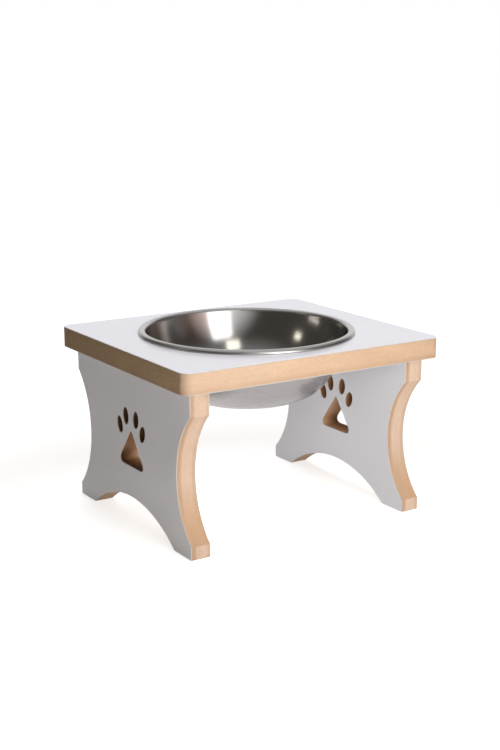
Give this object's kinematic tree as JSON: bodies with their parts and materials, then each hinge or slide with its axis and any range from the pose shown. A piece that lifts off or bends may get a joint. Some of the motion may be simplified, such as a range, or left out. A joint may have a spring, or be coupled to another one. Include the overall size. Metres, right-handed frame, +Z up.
{
  "type": "raised pet feeder stand",
  "caption": "Raised pet feeder: white faced board stand with waisted, arched legs, paw print cut-outs and a lift-out stainless steel bowl.",
  "frame": {"origin": "centre of the footprint, on the floor under the feet", "axes": "+X to the right along the front of the top, +Y to the back, +Z up"},
  "size_m": [0.256, 0.224, 0.1617],
  "materials": {
    "board": "bare sawn fibreboard",
    "facing": "semi-gloss white melamine",
    "dowel": "fluted beech",
    "steel": "satin spun inside and out, polished rim"
  },
  "bodies": {
    "stand": {"top_board": "board", "top_upper_facing": "facing", "top_lower_facing": "facing", "left_leg_board": "board", "left_leg_outer_facing": "facing", "left_leg_inner_facing": "facing", "right_leg_board": "board", "right_leg_outer_facing": "facing", "right_leg_inner_facing": "facing", "left_front_dowel": "dowel", "left_middle_dowel": "dowel", "left_rear_dowel": "dowel", "right_front_dowel": "dowel", "right_middle_dowel": "dowel", "right_rear_dowel": "dowel"},
    "bowl": {"bowl": "steel"}
  },
  "joints": [
    {"name": "bowl_lift", "type": "slide", "parent": "stand", "child": "bowl", "axis": [0, 0, 1], "range_m": [0, 0.12]}
  ]
}
